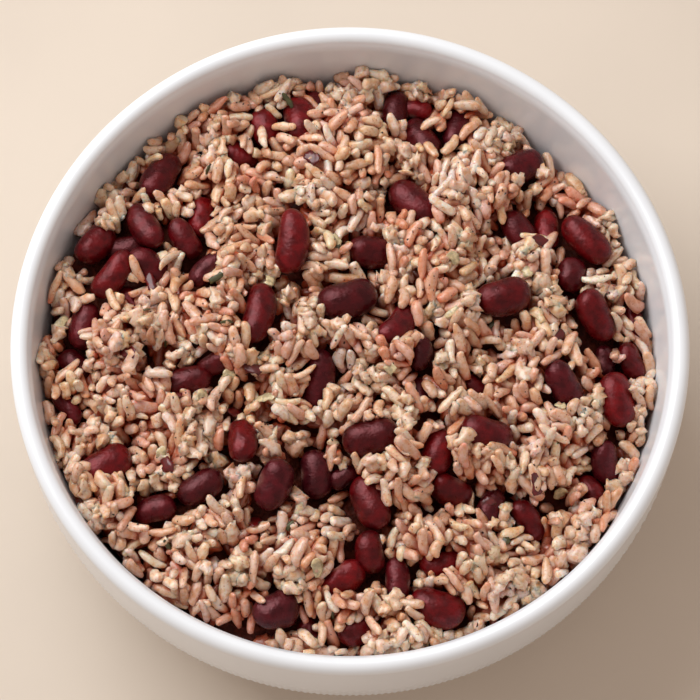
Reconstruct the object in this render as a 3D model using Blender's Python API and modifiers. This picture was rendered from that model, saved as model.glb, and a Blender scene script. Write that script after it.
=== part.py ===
"""Brown rice and red kidney beans, heaped in a round glazed bowl.

The frame is metres with +Z up. The origin is the middle of the bowl's foot, on the surface that it
stands on. The near side of the bowl looks towards -Y.

The bowl is one turned piece. The heap of rice is one solid: its underside follows the inside of the
bowl, and its top is a lumpy dome with an uneven outline. The large whole beans that lie at the top
of the heap are solids of their own, each in a pocket of the heap.
"""

import math

import bmesh
import bpy
from mathutils import Matrix, Vector, noise

MM = 0.001
GAP = 0.4 * MM  # clearance round a bean
WALL_GAP = 0.8 * MM  # clearance between the rice and the bowl's facets

# The bowl.
RIM_RADIUS = 101.5 * MM
BOWL_HEIGHT = 78.0 * MM
LIP_THICKNESS = 5.6 * MM
FOOT_RADIUS = 48.0 * MM
FOOT_HEIGHT = 4.0 * MM
FOOT_RING_WIDTH = 6.0 * MM
FOOT_RECESS = 2.5 * MM
FOOT_EDGE = 0.5 * MM  # bevel outside the foot ring
FOOT_SLOPE = 1.5 * MM  # width of the slope from the foot ring up to the recess
OUTER_LEAN = 0.03  # how far the outer wall leans in, for each metre that it goes down
INNER_LEAN = 0.15
FLOOR_RADIUS = 46.0 * MM  # flat middle of the bowl's inside
FLOOR_THICKNESS = 6.0 * MM
ROUND_SEGMENTS = 48  # facets round the bowl and the heap
WALL_POINTS = 10  # points down each wall of the bowl's section
LIP_POINTS = 5
LIP_TURN = (150.0, 30.0)  # degrees between which the lip's points lie, from inside to outside
SEAM_MERGE = 0.01 * MM

# The heap.
APEX_DEPTH = 7.0 * MM  # top of the dome, below the rim
EDGE_DEPTH = 18.0 * MM  # mean depth at which the rice meets the wall
EDGE_SWAY = (4.5 * MM, 2.5 * MM)  # how much deeper the edge lies towards +X and towards +Y
EDGE_RAGGED = 2.6 * MM  # unevenness of the edge
EDGE_WAVES = ((2.6, 1.0, 4.0), (7.0, 0.5, 9.0))  # noise on the edge: how fine, how strong, which slice
DOME_POWER = 2.4  # how flat the dome is in the middle
CLUMP_FADE = 6  # how near the edge the clumps fade out
CLUMP_SIZES = (33.0 * MM, 17.0 * MM)
CLUMP_HEIGHTS = (10.0 * MM, 7.0 * MM)
CLUMP_LEVEL = 0.28  # share of the clumps' height that lies below the dome
CLUMP_PATTERN = 12.6  # which slice of the noise lays out the clumps
TOP_RINGS = 14  # rings of facets on the heap's top
UNDER_RINGS = 7  # rings from the heap's edge to the middle of its underside

# The beans: x, y, heading in degrees, length, width, and the height of the middle above the rice.
# All sizes are in millimetres.
BEANS = (
    (-73, -34, 34, 16.5, 12.5, 0.0),
    (-72, 25, 52, 17.0, 9.0, -1.0),
    (-18, 34, 84, 20.0, 10.2, 0.5),
    (-28, 11, 80, 20.0, 10.0, 0.1),
    (20, 49, -40, 18.5, 11.6, 0.3),
    (7, 33, -3, 15.0, 10.4, -0.5),
    (-1, 16, 18, 18.5, 12.8, 0.9),
    (14, 8, 56, 17.0, 9.0, -0.9),
    (46, 18, 15, 17.0, 12.0, 0.3),
    (-10, -9, 83, 20.0, 9.2, -0.9),
    (6, -27, 14, 17.5, 12.0, -1.2),
    (41, -25, -3, 16.7, 11.3, -0.3),
    (-33, -28, 103, 15.5, 9.5, -1.2),
    (-23, -42, 75, 16.0, 10.8, -0.7),
    (-45, -41, 27, 15.0, 10.0, -1.1),
    (26, -77, -17, 17.0, 12.4, -0.1),
    (-22, -78, 25, 14.5, 11.6, -0.5),
    (65, -9, -57, 16.5, 9.8, -0.7),
    (81, -12, -75, 17.0, 11.2, -0.3),
    (75, 14, -57, 17.0, 10.5, -0.7),
    (72, 39, -48, 18.5, 10.8, 0.1),
    (52, 63, 30, 15.0, 10.2, 0.1),
    (32, 75, 79, 15.0, 9.2, -0.7),
    (-16, 76, 97, 16.0, 10.4, 0.1),
    (-58, 59, 62, 18.0, 9.8, -0.9),
)
BEAN_FLATNESS = 0.86  # thickness of a bean over its width
BEAN_BEND = 0.07  # how far the ends bend round, over the length
BEND_MIDDLE = 0.4  # where the bend crosses the bean's axis, as the square of the way along
BEAN_NOTCH = 0.10  # depth of the hollow at the eye, over the width
BEAN_FULLNESS = 0.35  # how blunt the ends are
BEAN_SEGMENTS = 8
BEAN_RINGS = 7
SLOPE_STEP = 5.0 * MM  # the slope under a bean is taken this far to each side


def bowl_wall(angle, mouth, base, depth, lean):
    """(radius, depth) on a wall that starts upright at the mouth and rounds under to the base.

    The angle runs from 0 at the mouth to a quarter turn at the base. The curve is a superellipse:
    the radius falls with the cosine, and the depth grows with the square root of the sine.
    """
    down = depth * math.sqrt(math.sin(angle))
    radius = base + (mouth - lean * down - base) * math.cos(angle)
    return radius, down


def inner_wall(angle):
    """(radius, height) on the inside of the bowl."""
    floor_depth = BOWL_HEIGHT - FOOT_RECESS - FLOOR_THICKNESS
    mouth = RIM_RADIUS - LIP_THICKNESS
    radius, down = bowl_wall(angle, mouth, FLOOR_RADIUS, floor_depth, INNER_LEAN)
    return radius, BOWL_HEIGHT - down


def outer_wall(angle):
    """(radius, height) on the outside of the bowl."""
    base_depth = BOWL_HEIGHT - FOOT_HEIGHT
    radius, down = bowl_wall(angle, RIM_RADIUS, FOOT_RADIUS, base_depth, OUTER_LEAN)
    return radius, BOWL_HEIGHT - down


def angle_at_depth(down):
    """The inner wall's angle at this depth below the rim."""
    floor_depth = BOWL_HEIGHT - FOOT_RECESS - FLOOR_THICKNESS
    return math.asin((down / floor_depth) ** 2)


def spread(low, high, count):
    """Evenly spaced numbers from low to high, both included."""
    return [low + (high - low) * step / (count - 1) for step in range(count)]


def bowl_profile():
    """The bowl's section, from the middle of its floor over the lip to the middle of its foot."""
    quarter = math.pi / 2
    half_lip = LIP_THICKNESS / 2
    lip_angle = angle_at_depth(half_lip)
    points = [(0.0, inner_wall(quarter)[1])]
    points += [inner_wall(angle) for angle in spread(quarter, lip_angle, WALL_POINTS)]
    lip_middle = RIM_RADIUS - half_lip
    for degrees in spread(*LIP_TURN, LIP_POINTS):
        turn = math.radians(degrees)
        side = half_lip * math.cos(turn)
        points.append((lip_middle + side, BOWL_HEIGHT - half_lip + half_lip * math.sin(turn)))
    points += [outer_wall(angle) for angle in spread(lip_angle, quarter, WALL_POINTS)]
    points.append((FOOT_RADIUS - FOOT_EDGE, 0.0))
    points.append((FOOT_RADIUS - FOOT_RING_WIDTH, 0.0))
    points.append((FOOT_RADIUS - FOOT_RING_WIDTH - FOOT_SLOPE, FOOT_RECESS))
    points.append((0.0, FOOT_RECESS))
    return points


def edge_depth(turn):
    """Depth below the rim at which the rice meets the wall, at this turn round the bowl."""
    across, along = math.cos(turn), math.sin(turn)
    ragged = 0.0
    for fine, strength, pattern in EDGE_WAVES:
        ragged += strength * noise.noise(Vector((fine * across, fine * along, pattern)))
    return EDGE_DEPTH + EDGE_SWAY[0] * across + EDGE_SWAY[1] * along + EDGE_RAGGED * ragged


def edge_point(turn):
    """(radius, height) of the heap's outline at this turn."""
    radius, height = inner_wall(angle_at_depth(edge_depth(turn)))
    return radius - WALL_GAP, height


def clumps(x, y):
    """Height that the clumps of rice add to the dome: rounded lumps with creases between them."""
    added = 0.0
    for size, height in zip(CLUMP_SIZES, CLUMP_HEIGHTS):
        lump = abs(noise.noise(Vector((x / size, y / size, CLUMP_PATTERN))))
        added += height * (lump - CLUMP_LEVEL)
    return added


def heap_top(x, y):
    """Height of the heap's top at this place."""
    turn = math.atan2(y, x)
    edge_radius, edge_height = edge_point(turn)
    out = min(1.0, math.hypot(x, y) / edge_radius)
    apex_height = BOWL_HEIGHT - APEX_DEPTH
    dome = edge_height + (apex_height - edge_height) * (1.0 - out**DOME_POWER)
    return dome + clumps(x, y) * (1.0 - out**CLUMP_FADE)


def make_material(name, colour, roughness):
    material = bpy.data.materials.new(name)
    material.use_nodes = True
    shader = material.node_tree.nodes["Principled BSDF"]
    shader.inputs["Base Color"].default_value = (*colour, 1.0)
    shader.inputs["Roughness"].default_value = roughness
    shader.inputs["Metallic"].default_value = 0.0
    return material


def add_object(name, mesh, collection, material=None):
    piece = bpy.data.objects.new(name, mesh)
    collection.objects.link(piece)
    if material is not None:
        mesh.materials.append(material)
    return piece


def add_collection(name):
    collection = bpy.data.collections.new(name)
    bpy.context.scene.collection.children.link(collection)
    return collection


def build_bowl(collection):
    """The bowl's section, turned about the Z axis."""
    section = [(radius, 0.0, height) for radius, height in bowl_profile()]
    mesh = bpy.data.meshes.new("bowl")
    mesh.from_pydata(section, [(i, i + 1) for i in range(len(section) - 1)], [])
    glaze = make_material("white_glazed_stoneware", (0.80, 0.81, 0.84), 0.12)
    bowl = add_object("bowl", mesh, collection, glaze)
    turned = bowl.modifiers.new("turned", "SCREW")
    turned.axis = "Z"
    turned.steps = turned.render_steps = ROUND_SEGMENTS
    turned.use_merge_vertices = True
    turned.merge_threshold = SEAM_MERGE
    turned.use_smooth_shade = True
    return bowl


def heap_place(unit):
    """Moves a point of a unit sphere to the heap: the rings near the top pole make the dome, and
    the others follow the inside of the bowl down to the middle of its floor.
    """
    turn = math.atan2(unit.y, unit.x)
    ring = round(math.acos(max(-1.0, min(1.0, unit.z))) / math.pi * (TOP_RINGS + UNDER_RINGS))
    edge_radius, edge_height = edge_point(turn)
    if ring < TOP_RINGS:
        radius = edge_radius * ring / TOP_RINGS
        x, y = radius * math.cos(turn), radius * math.sin(turn)
        return Vector((x, y, heap_top(x, y)))
    if ring == TOP_RINGS:
        radius, height = edge_radius, edge_height
    else:
        start = angle_at_depth(edge_depth(turn))
        share = (ring - TOP_RINGS) / (UNDER_RINGS - 1)
        radius, height = inner_wall(start + (math.pi / 2 - start) * min(1.0, share))
        radius, height = radius - WALL_GAP, height + WALL_GAP
        if share > 1.0:
            radius = 0.0
    return Vector((radius * math.cos(turn), radius * math.sin(turn), height))


def build_heap(collection, cutters):
    """The rice, with a pocket for each bean."""
    mesh = bpy.data.meshes.new("rice")
    shape = bmesh.new()
    bmesh.ops.create_uvsphere(
        shape, u_segments=ROUND_SEGMENTS, v_segments=TOP_RINGS + UNDER_RINGS, radius=1.0
    )
    for vertex in shape.verts:
        vertex.co = heap_place(vertex.co)
    bmesh.ops.triangulate(shape, faces=shape.faces)
    shape.to_mesh(mesh)
    shape.free()
    cooked = make_material("cooked_brown_rice", (0.46, 0.27, 0.20), 0.5)
    heap = add_object("rice", mesh, collection, cooked)
    pockets = heap.modifiers.new("bean_pockets", "BOOLEAN")
    pockets.operation = "DIFFERENCE"
    pockets.operand_type = "COLLECTION"
    pockets.collection = cutters
    pockets.solver = "EXACT"
    return heap


def bean_mesh(name, length, width, grow=0.0):
    """A kidney shape along X: a rounded rod whose ends bend towards +Y, with a hollow at the eye."""
    mesh = bpy.data.meshes.new(name)
    shape = bmesh.new()
    bmesh.ops.create_uvsphere(
        shape, u_segments=BEAN_SEGMENTS, v_segments=BEAN_RINGS, radius=1.0
    )
    half_length = length / 2 + grow
    half_width = width / 2 + grow
    half_thickness = width * BEAN_FLATNESS / 2 + grow
    for vertex in shape.verts:
        side, up, along = vertex.co.x, vertex.co.y, vertex.co.z
        full = (1.0 + along**2) ** BEAN_FULLNESS
        notch = BEAN_NOTCH * max(0.0, side) * (1.0 - along**2) ** 2
        y = half_width * (side * full - notch) + BEAN_BEND * length * (along**2 - BEND_MIDDLE)
        vertex.co = Vector((half_length * along, y, half_thickness * up * full))
    shape.to_mesh(mesh)
    shape.free()
    mesh.shade_smooth()
    return mesh


def lie_on_heap(x, y, heading, lift):
    """A bean's place: flat on the slope of the heap, pointing along its heading."""
    step = SLOPE_STEP
    slope_x = (heap_top(x + step, y) - heap_top(x - step, y)) / (2 * step)
    slope_y = (heap_top(x, y + step) - heap_top(x, y - step)) / (2 * step)
    up = Vector((-slope_x, -slope_y, 1.0)).normalized()
    ahead = Vector((math.cos(heading), math.sin(heading), 0.0))
    ahead = (ahead - up * ahead.dot(up)).normalized()
    turn = Matrix((ahead, up.cross(ahead), up)).transposed().to_4x4()
    return Matrix.Translation(Vector((x, y, heap_top(x, y))) + up * lift) @ turn


def build_beans(collection, cutters):
    """Each large bean at the top of the heap, and the cutter of its pocket."""
    skin = make_material("red_kidney_bean", (0.10, 0.012, 0.022), 0.28)
    beans = []
    for number, (x, y, heading, length, width, lift) in enumerate(BEANS, start=1):
        place = lie_on_heap(x * MM, y * MM, math.radians(heading), lift * MM)
        name = f"bean_{number:02d}"
        bean = add_object(name, bean_mesh(name, length * MM, width * MM), collection, skin)
        pocket_mesh = bean_mesh(f"{name}_pocket", length * MM, width * MM, grow=GAP)
        pocket = add_object(f"{name}_pocket", pocket_mesh, cutters)
        pocket.hide_render = True
        pocket.display_type = "WIRE"
        bean.matrix_world = pocket.matrix_world = place
        beans.append(bean)
    return beans


def main():
    for leftover in list(bpy.data.objects):
        bpy.data.objects.remove(leftover)
    pieces = add_collection("rice_and_beans_bowl")
    cutters = add_collection("bean_pockets")
    cutters.hide_render = True
    stand = bpy.data.objects.new("rice_and_beans", None)
    pieces.objects.link(stand)
    made = [build_bowl(pieces), *build_beans(pieces, cutters), build_heap(pieces, cutters)]
    for piece in made:
        piece.parent = stand


main()
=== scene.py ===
"""Brown rice and red kidney beans in a glazed bowl: the looks, built round the fixed CAD frame.

The heap is laid grain by grain. A height map starts at a core that lies a little below the CAD heap's
top. The beans are pressed into it, and then each grain comes to rest where the heap still lacks most,
tilted to lie on whatever is under it, until the heap reaches the CAD outline. Everything is drawn
from seeded numbers, so it is the same each run. Sizes are metres, with +Z up.
"""

import math
from functools import lru_cache

import bpy
import numpy as np
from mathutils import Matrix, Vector
from mathutils.bvhtree import BVHTree


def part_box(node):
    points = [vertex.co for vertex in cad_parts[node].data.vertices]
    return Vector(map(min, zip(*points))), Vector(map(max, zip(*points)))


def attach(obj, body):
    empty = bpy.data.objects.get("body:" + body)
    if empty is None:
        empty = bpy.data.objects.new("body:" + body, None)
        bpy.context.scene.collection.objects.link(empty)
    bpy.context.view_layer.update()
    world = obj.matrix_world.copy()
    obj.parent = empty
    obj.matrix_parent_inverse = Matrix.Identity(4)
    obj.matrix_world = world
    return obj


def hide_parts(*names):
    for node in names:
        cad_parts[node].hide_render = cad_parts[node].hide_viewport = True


bl_info = {
    "name": "Rice and Beans Bowl",
    "version": (1, 0, 0),
    "blender": (4, 5, 0),
    "location": "3D View > Sidebar > Rice and Beans",
    "description": "Dresses the bowl of rice and beans with glaze, grains, beans and a stage",
    "category": "Add Mesh",
}

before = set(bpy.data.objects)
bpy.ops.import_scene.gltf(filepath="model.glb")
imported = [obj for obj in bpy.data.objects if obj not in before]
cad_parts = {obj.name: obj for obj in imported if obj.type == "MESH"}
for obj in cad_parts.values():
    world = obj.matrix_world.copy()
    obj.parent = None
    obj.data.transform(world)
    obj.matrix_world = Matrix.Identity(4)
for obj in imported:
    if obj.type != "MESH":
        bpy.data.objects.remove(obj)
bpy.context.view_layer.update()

MM = 0.001
BODY = "root"
BOWL_NODE = "bowl"
HEAP_NODE = "rice"
BEAN_NODES = sorted(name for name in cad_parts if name.startswith("bean_"))

BOWL_LOW, BOWL_HIGH = (np.array(corner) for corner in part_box(BOWL_NODE))
RIM_RADIUS = float(BOWL_HIGH[1] - BOWL_LOW[1]) / 2
RIM_HEIGHT = float(BOWL_HIGH[2])

# The height map that the heap is laid on.
CELL = 0.5 * MM
MAP_HALF = 100.0 * MM
MAP_SIDE = int(round(2 * MAP_HALF / CELL))
CAST_STEP = 2  # the CAD heap is read at every second cell

# The bowl's walls, as its CAD solid has them.
LIP = 5.6 * MM
INNER_LEAN = 0.15
OUTER_LEAN = 0.03
FLOOR_RADIUS = 46.0 * MM
FLOOR_THICKNESS = 6.0 * MM
FOOT_RADIUS = 48.0 * MM
FOOT_HEIGHT = 4.0 * MM
FOOT_RING = 6.0 * MM
FOOT_RECESS = 2.5 * MM
INNER_STEPS, LIP_STEPS, OUTER_STEPS = 30, 14, 96  # points of its section on each stretch

# Beans that lie half under the rice: x, y, heading in degrees, length, width, and the depth of
# their backs under the heap's top, in millimetres.
SUNKEN_BEANS = (
    (-26, 74, 103, 12.5, 8.8, 0.0), (-34, 65, -22, 12, 8.5, 1.0), (14, 80, 85, 15, 8, 0.0),
    (20, 82, -18, 11, 7, 0.5), (22, 71, -67, 16, 9, 0.0), (-10, 84, -17, 11, 7, 2.0),
    (-62, 41, -59, 17, 9, 0.0), (-50, 37, -59, 14, 8, 0.5), (-77, 36, 55, 14.5, 10, 0.3),
    (-68, 35, 5, 13, 8, 4.0), (-61, 28, -37, 14, 9.5, 0.3), (-43, 26, 45, 13.5, 8, 0.0),
    (-45, 45, 84, 14, 8, 2.5), (-80, 10, 79, 15, 9, 0.8), (-83, -2, -44, 12, 8, 3.0),
    (-85, -15, -52, 13, 6, 0.3), (-48, -9, 16, 14, 9, 0.8), (-41, -4, 33, 11, 7, 2.0),
    (21, -1, 86, 11, 7, 0.4), (21, -12, -81, 12, 7, 2.0), (-10, -37, -88, 15, 10, 0.3),
    (-2, -38, 31, 9, 6, 1.5), (6, -46, -68, 17.5, 10.5, -0.3), (6, -61, -79, 13, 9, 0.2),
    (-2, -69, 36, 14, 9.5, 0.6), (-58, -48, 8, 13, 8.5, 1.0), (2, -84, 10, 12, 8.5, 0.8),
    (-12, -84, -69, 10, 7, 2.5), (14, -69, -86, 14, 7.5, 0.0), (27, -64, 5, 13, 8, 1.5),
    (30, -42, -37, 13.5, 9.5, 0.2), (26, -31, 71, 15, 10, 1.0), (42, -47, 74, 13, 8, 0.0),
    (53, -50, -56, 14, 8, 0.0), (67, 27, 80, 11, 9, 0.3), (60, 43, -83, 14, 7.5, 1.0),
    (51, 42, -60, 13, 9.5, 0.0), (77, 1, -80, 10, 6.5, 2.0), (86, 14, -86, 13, 6, 1.5),
    (85, 1, -65, 12.5, 7.5, 0.0), (77, -31, -72, 14.5, 9, 0.2), (72, -39, -56, 10, 7, 2.5),
    (38, -9, -33, 10, 6.5, 3.0), (-66, 18, -48, 11, 7.5, 3.5),
)

# Scraps that catch the eye on top of the rice: x and y in millimetres.
HERB_SPOTS = ((-43, 59), (-4, 33), (43, 10), (-40, 21), (-55, 3), (-5, -80), (-19, 81), (-61, 12))
ONION_SPOTS = ((-44, -15), (-56, -32), (63, -16), (-24, 22), (12, -8), (31, 28))
SKIN_SPOTS = ((41, -46), (-60, 22), (-34, -18), (57, 36))


def linear(hex_colour):
    """An sRGB hex colour as linear red, green and blue."""
    parts = np.array([int(hex_colour[i : i + 2], 16) for i in (1, 3, 5)]) / 255
    curve = np.where(parts <= 0.04045, parts / 12.92, ((parts + 0.055) / 1.055) ** 2.4)
    return tuple(float(part) for part in curve)


# --- Settings ---


def length_setting(name, description, default):
    return bpy.props.FloatProperty(
        name=name, description=description, default=default, min=0.0, subtype="DISTANCE", unit="LENGTH"
    )


def colour_setting(name, description, hex_colour):
    return bpy.props.FloatVectorProperty(
        name=name, description=description, default=linear(hex_colour), size=3, min=0.0, max=1.0,
        subtype="COLOR",
    )


def count_setting(name, description, default):
    return bpy.props.IntProperty(name=name, description=description, default=default, min=0)


class BowlSettings(bpy.types.PropertyGroup):
    studs_round: count_setting("Studs round", "How many low studs each row has", 160)
    stud_row: length_setting("Stud row", "From each row of studs to the next", 3.4 * MM)
    stud_height: length_setting("Stud height", "How far the studs stand out", 0.35 * MM)
    plain_band: length_setting("Plain band", "Width of the plain wall under the lip", 20.0 * MM)
    studded_band: length_setting("Studded band", "Width of the studded wall", 52.0 * MM)
    glaze: colour_setting("Glaze", "Colour of the white glaze", "#eceff4")


class RiceSettings(bpy.types.PropertyGroup):
    grain_length: length_setting("Grain length", "Mean length of a cooked grain", 8.2 * MM)
    grain_width: length_setting("Grain width", "Mean width of a cooked grain", 3.15 * MM)
    most_grains: count_setting("Most grains", "The heap is full at this many grains", 6000)
    core_depth: length_setting("Core depth", "Depth of the core under the heap's top", 9.0 * MM)
    clump: length_setting("Clump", "How far clumps rise over the gaps between them", 2.6 * MM)
    gap: length_setting("Gap", "How deep the gaps between clumps are", 9.2 * MM)
    moat: length_setting("Moat", "How deep the gaps beside the beans are", 4.6 * MM)
    far_rise: length_setting("Far rise", "How much higher the rice is piled at the far edge", 3.0 * MM)
    near_rise: length_setting("Near rise", "How much higher it is at the near right edge", 2.5 * MM)
    cream: colour_setting("Cream", "Grains with hardly a tint", "#e1cebc")
    tan: colour_setting("Tan", "Most grains", "#e0c3ad")
    rosy: colour_setting("Rosy", "Grains tinted by the beans", "#d3a893")
    pale: colour_setting("Pale", "White grains", "#e5dbd0")
    # Also painted shade: grains take this colour in the crevices between them and on their lower sides.
    stain_and_shade: colour_setting("Stain", "Bean broth on tips and folds", "#c85a32")
    # Painted shade: grains that lie low between the clumps are darkened towards this colour.
    gap_shade: colour_setting("Soaked", "Grains low between the clumps, soaked in broth", "#ac482b")
    # Painted shade: the core under the grains is coloured this dark to stand for the shade in the gaps.
    core: colour_setting("Core", "Rice deep in the gaps", "#5c2214")


class BeanSettings(bpy.types.PropertyGroup):
    maroon: colour_setting("Maroon", "Skin of most beans", "#4e060a")
    purple: colour_setting("Purple", "Skin of the dullest beans", "#3c0a11")
    red: colour_setting("Red", "Skin of the reddest beans", "#63080c")
    flesh: colour_setting("Flesh", "Inside of a split bean and its eye", "#b98a78")


class ScrapSettings(bpy.types.PropertyGroup):
    onions: count_setting("Onion flakes", "Thin clear flakes among the grains", 14)
    herbs: count_setting("Herb flecks", "Bits of green herb", 12)
    peppers: count_setting("Pepper specks", "Dark specks on the grains", 560)
    skins: count_setting("Bean skins", "Shards of bean skin", 12)
    onion: colour_setting("Onion", "Cooked onion", "#dcc9a0")
    herb: colour_setting("Herb", "Cooked herb", "#494621")
    pepper: colour_setting("Pepper", "Ground pepper", "#35221a")


class StageSettings(bpy.types.PropertyGroup):
    elevation: bpy.props.FloatProperty(
        name="Elevation", description="How steeply the camera looks down", default=math.radians(72.5),
        subtype="ANGLE", unit="ROTATION",
    )
    distance: length_setting("Distance", "From the camera to the middle of the rim", 1.6)
    aim_nearer: length_setting("Aim nearer", "The camera aims this far nearer than the middle", 2.2 * MM)
    floor: colour_setting("Floor", "Plain pale table", "#d8cabb")
    key_watts: bpy.props.FloatProperty(
        name="Key", description="Power of the window light", default=25.4
    )
    fill: bpy.props.FloatProperty(
        name="Fill", description="Strength of the room's light", default=0.54
    )


# --- Meshes ---


def mesh_object(name, points, triangles, quads, smooth=True):
    """An object at the origin whose mesh has these points, three-cornered and four-cornered faces."""
    mesh = bpy.data.meshes.new(name)
    corners = np.concatenate([triangles.ravel(), quads.ravel()]).astype(np.int32)
    starts = np.concatenate(
        [np.arange(len(triangles)) * 3, len(triangles) * 3 + np.arange(len(quads)) * 4]
    ).astype(np.int32)
    mesh.vertices.add(len(points))
    mesh.vertices.foreach_set("co", np.ascontiguousarray(points, np.float32).ravel())
    mesh.loops.add(len(corners))
    mesh.loops.foreach_set("vertex_index", corners)
    mesh.polygons.add(len(starts))
    mesh.polygons.foreach_set("loop_start", starts)
    mesh.update(calc_edges=True)
    mesh.validate()
    if smooth:
        mesh.shade_smooth()
    piece = bpy.data.objects.new(name, mesh)
    bpy.context.scene.collection.objects.link(piece)
    return piece


def strip_quads(rows, columns):
    """Corner numbers of the quads between neighbouring rows of a grid, closed along each row."""
    row, column = np.meshgrid(np.arange(rows - 1), np.arange(columns), indexing="ij")
    after = (column + 1) % columns
    quads = np.stack(
        [row * columns + column, row * columns + after, (row + 1) * columns + after,
         (row + 1) * columns + column], axis=-1
    )
    return quads.reshape(-1, 4)


def pod_faces(count, rings, segments):
    """Faces of closed pods, each with a first pole, rings of points, and a last pole."""
    block = rings * segments + 2
    quads = strip_quads(rings, segments) + 1
    here = np.arange(segments)
    after = (here + 1) % segments
    first = np.stack([np.zeros(segments, int), 1 + after, 1 + here], axis=-1)
    base = 1 + (rings - 1) * segments
    last = np.stack([np.full(segments, block - 1), base + here, base + after], axis=-1)
    offsets = (np.arange(count) * block)[:, None, None]
    triangles = np.concatenate([first, last])[None] + offsets
    return triangles.reshape(-1, 3), (quads[None] + offsets).reshape(-1, 4)


def paint(piece, name, colours):
    """Stores one colour for each point."""
    attribute = piece.data.color_attributes.new(name, "FLOAT_COLOR", "POINT")
    values = np.ones((len(colours), 4), np.float32)
    values[:, : colours.shape[1]] = colours
    attribute.data.foreach_set("color", values.ravel())


def turned(profile, segments):
    """Points of a profile of (radius, height) pairs turned about Z, a row for each pair."""
    turn = np.arange(segments) * (2 * math.pi / segments)
    radius = profile[:, 0, None]
    height = np.broadcast_to(profile[:, 1, None], (len(profile), segments))
    return np.stack([radius * np.cos(turn), radius * np.sin(turn), height], axis=-1)


def finish_piece(piece, material, slot, *nodes):
    """Gives the piece its material, and lets it ride on the body and replace the nodes. Its slot is not
    used.
    """
    piece.data.materials.append(material)
    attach(piece, BODY)
    if nodes:
        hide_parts(*nodes)
    return piece


# --- Materials ---


def add_node(tree, kind, inputs=(), **settings):
    """Adds a node. Settings are its own; inputs are pairs of a socket and a value or a link."""
    node = tree.nodes.new(kind)
    for name, value in settings.items():
        setattr(node, name, value)
    for socket, value in inputs:
        if isinstance(value, bpy.types.NodeSocket):
            tree.links.new(value, node.inputs[socket])
        else:
            node.inputs[socket].default_value = value
    return node


def new_material(name):
    """An empty material and its tree with an output, a Principled shader and Object coordinates."""
    material = bpy.data.materials.new(name)
    material.use_nodes = True
    tree = material.node_tree
    tree.nodes.clear()
    shader = add_node(tree, "ShaderNodeBsdfPrincipled")
    add_node(tree, "ShaderNodeOutputMaterial", [("Surface", shader.outputs["BSDF"])])
    place = add_node(tree, "ShaderNodeTexCoord").outputs["Object"]
    return material, tree, shader, place


def set_shader(tree, shader, **values):
    """Sets the shader's own sockets, or links them, each by its name with underscores."""
    for name, value in values.items():
        socket = shader.inputs[name.replace("_", " ").title().replace("Ior", "IOR")]
        if isinstance(value, bpy.types.NodeSocket):
            tree.links.new(value, socket)
        else:
            socket.default_value = value


def rgba(colour):
    return (*colour, 1.0)


def blend_colours(tree, share, low, high):
    """A colour between two, by a share from 0 to 1."""
    mix = add_node(tree, "ShaderNodeMix", [(0, share), (6, low), (7, high)], data_type="RGBA")
    return mix.outputs[2]


def darkened(tree, colour, dye, share):
    """The colour, times a dye's three parts where the share is 1."""
    dyed = add_node(
        tree, "ShaderNodeMix", [(0, 1.0), (6, colour), (7, rgba(dye))], data_type="RGBA",
        blend_type="MULTIPLY",
    )
    return blend_colours(tree, share, colour, dyed.outputs[2])


def spots(tree, place, size, low=0.4, high=0.6, detail=3.0):
    """Soft spots about this far apart, as a share from 0 to 1."""
    noise = add_node(
        tree, "ShaderNodeTexNoise", [("Vector", place), ("Scale", 1 / size), ("Detail", detail)]
    )
    ramp = add_node(
        tree, "ShaderNodeMapRange",
        [("Value", noise.outputs["Fac"]), ("From Min", low), ("From Max", high)],
    )
    return ramp.outputs["Result"]


def bump(tree, shader, height, distance, strength):
    """Raises the surface by a share from 0 to 1 of this distance, in shading only."""
    node = add_node(
        tree, "ShaderNodeBump", [("Height", height), ("Distance", distance), ("Strength", strength)]
    )
    tree.links.new(node.outputs["Normal"], shader.inputs["Normal"])


def glazed_stoneware(settings):
    """White stoneware under a clear shiny glaze, dipped and fired: a smooth, faintly wavy mirror."""
    material, tree, shader, place = new_material("white_glazed_stoneware")
    cooler = tuple(0.965 * part for part in settings.glaze)
    share = spots(tree, place, 30 * MM)
    colour = blend_colours(tree, share, rgba(cooler), rgba(settings.glaze))
    set_shader(
        tree, shader, base_color=colour, roughness=0.3, ior=1.5, coat_weight=0.35, coat_roughness=0.08
    )
    waves = spots(tree, place, 9 * MM, 0.0, 1.0, 1.0)
    bump(tree, shader, waves, 0.02 * MM, 0.5)
    return material


def cooked_rice():
    """Boiled brown rice: soft wet grains that light gets into, tinted by the beans' broth, with painted
    shade in the crevices and low gaps carried by the grain tints.
    """
    material, tree, shader, place = new_material("cooked_brown_rice")
    tint = add_node(tree, "ShaderNodeAttribute", attribute_name="grain_tint").outputs["Color"]
    mottled = darkened(tree, tint, (0.9, 0.66, 0.44), spots(tree, place, 1.8 * MM, 0.42, 0.68))
    colour = darkened(tree, mottled, (0.66, 0.4, 0.3), spots(tree, place, 0.7 * MM, 0.6, 0.72))
    set_shader(
        tree, shader, base_color=colour, roughness=0.36, ior=1.4, subsurface_weight=0.8,
        subsurface_scale=1.7 * MM, subsurface_radius=(1.0, 0.56, 0.36), coat_weight=0.6,
        coat_roughness=0.12,
    )
    bran = spots(tree, place, 1.2 * MM, 0.2, 0.8, 4.0)
    bump(tree, shader, bran, 0.4 * MM, 0.42)
    return material


def rice_core(settings):
    """Packed rice deep between the grains, painted nearly dark as the shade in the gaps."""
    material, tree, shader, place = new_material("packed_rice_core")
    share = spots(tree, place, 3.0 * MM)
    deep = tuple(0.45 * part for part in settings.core)
    colour = blend_colours(tree, share, rgba(deep), rgba(settings.core))
    set_shader(tree, shader, base_color=colour, roughness=0.6, specular_ior_level=0.15)
    bump(tree, shader, share, 0.6 * MM, 0.8)
    return material


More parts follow.
